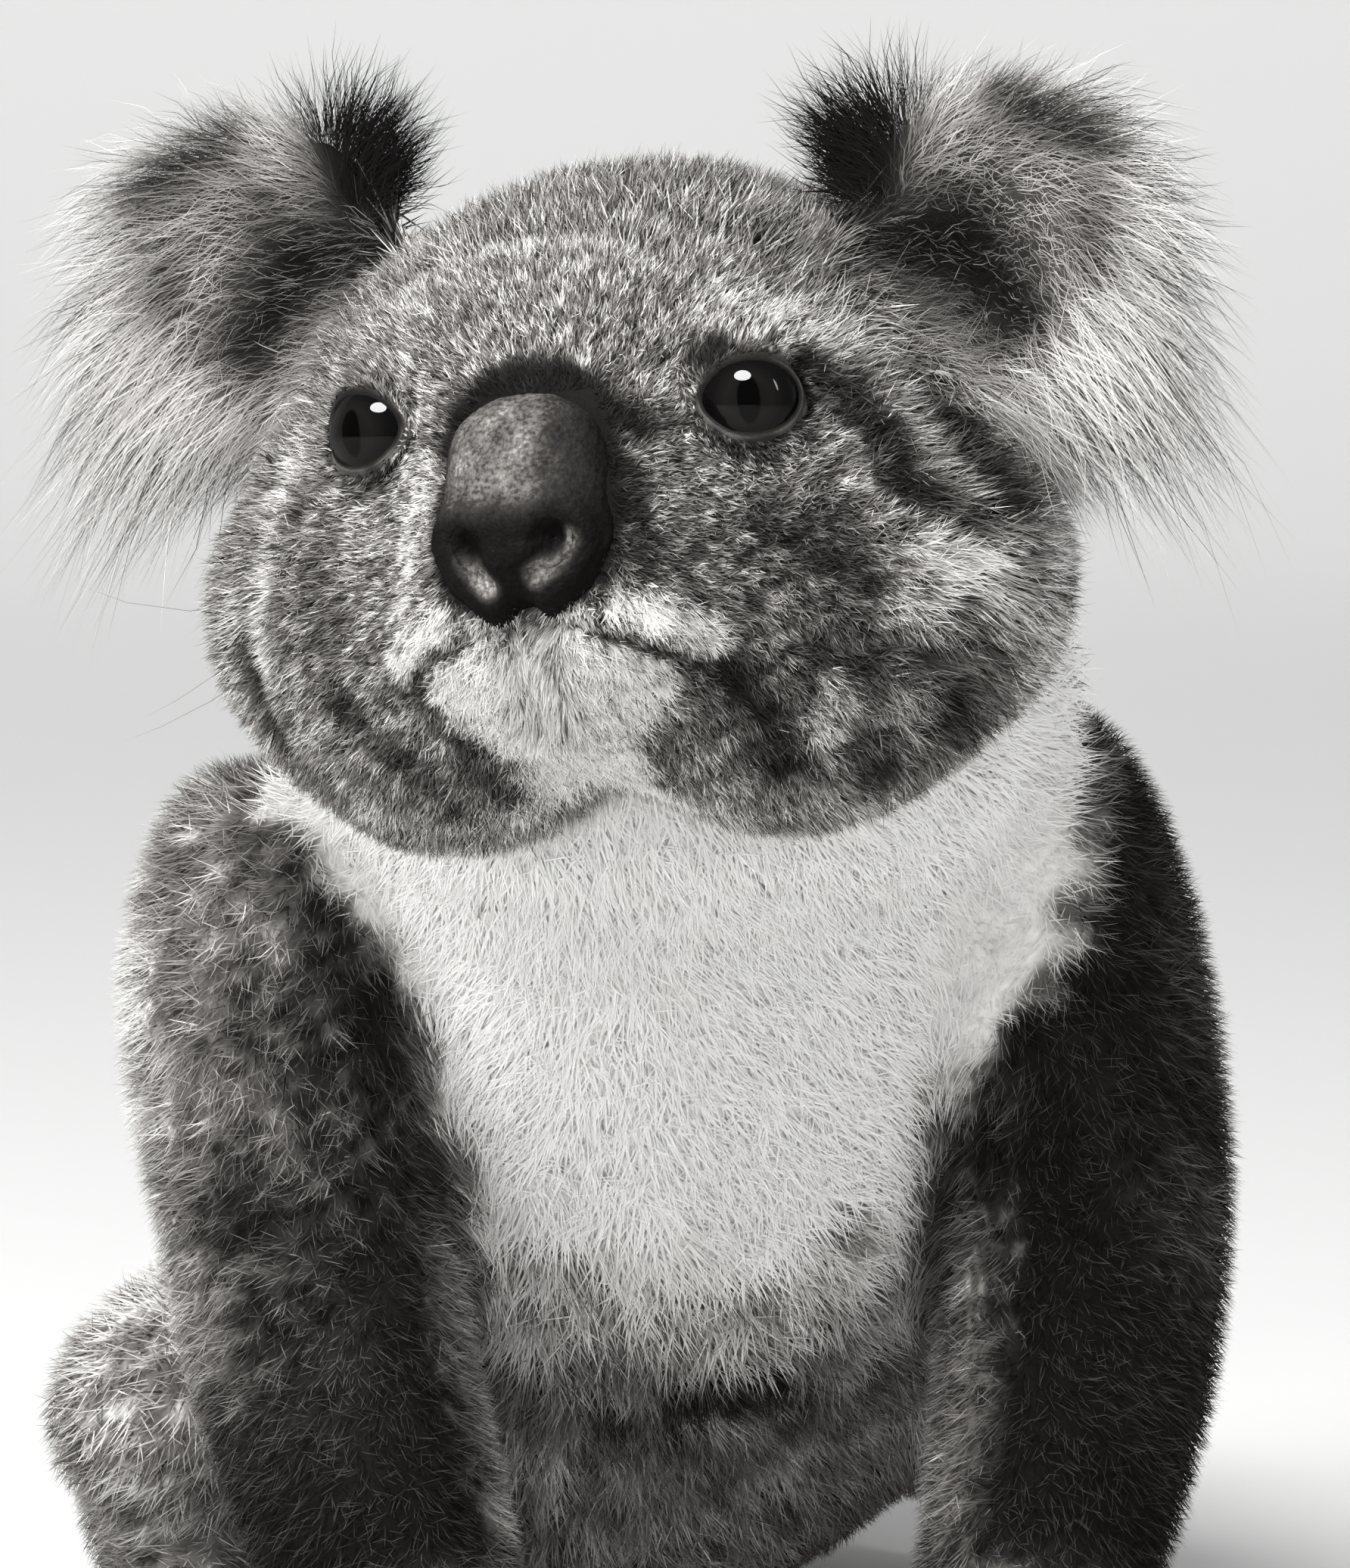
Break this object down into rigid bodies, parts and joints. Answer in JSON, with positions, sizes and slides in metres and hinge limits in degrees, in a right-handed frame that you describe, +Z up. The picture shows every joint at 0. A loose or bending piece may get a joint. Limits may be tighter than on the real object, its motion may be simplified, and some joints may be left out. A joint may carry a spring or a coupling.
{
  "type": "koala",
  "caption": "Life-size still model of a koala sitting on its rump, straight forelegs planted in front and head turned to its right.",
  "frame": {"origin": "on the floor, under the middle of the whole animal's bounding box", "axes": "+Z up from the floor, -Y the way the body faces, +X towards the animal's own left"},
  "size_m": [0.2788, 0.343, 0.3607],
  "materials": {
    "coat_grey": "dense woolly ash-grey fur",
    "coat_dark": "dense woolly dark grey fur",
    "coat_pale": "soft white fur",
    "nose_skin": "fine-grained bare skin, dull",
    "eye": "wet gloss",
    "claw_horn": "smooth dark horn"
  },
  "bodies": {
    "root": {"head": "coat_grey", "nose": "nose_skin", "eye_left": "eye", "ear_left": "coat_pale", "eye_right": "eye", "ear_right": "coat_pale", "trunk": "coat_grey", "neck": "coat_pale", "upper_arm_left": "coat_dark", "forearm_left": "coat_dark", "hand_left": "coat_dark", "claw_hand_left_1": "claw_horn", "claw_hand_left_2": "claw_horn", "claw_hand_left_3": "claw_horn", "claw_hand_left_4": "claw_horn", "claw_hand_left_5": "claw_horn", "thigh_left": "coat_grey", "shank_left": "coat_grey", "foot_left": "coat_pale", "claw_foot_left_2": "claw_horn", "claw_foot_left_3": "claw_horn", "claw_foot_left_4": "claw_horn", "claw_foot_left_5": "claw_horn", "upper_arm_right": "coat_dark", "forearm_right": "coat_dark", "hand_right": "coat_dark", "claw_hand_right_1": "claw_horn", "claw_hand_right_2": "claw_horn", "claw_hand_right_3": "claw_horn", "claw_hand_right_4": "claw_horn", "claw_hand_right_5": "claw_horn", "thigh_right": "coat_grey", "shank_right": "coat_grey", "foot_right": "coat_pale", "claw_foot_right_2": "claw_horn", "claw_foot_right_3": "claw_horn", "claw_foot_right_4": "claw_horn", "claw_foot_right_5": "claw_horn"}
  },
  "joints": []
}
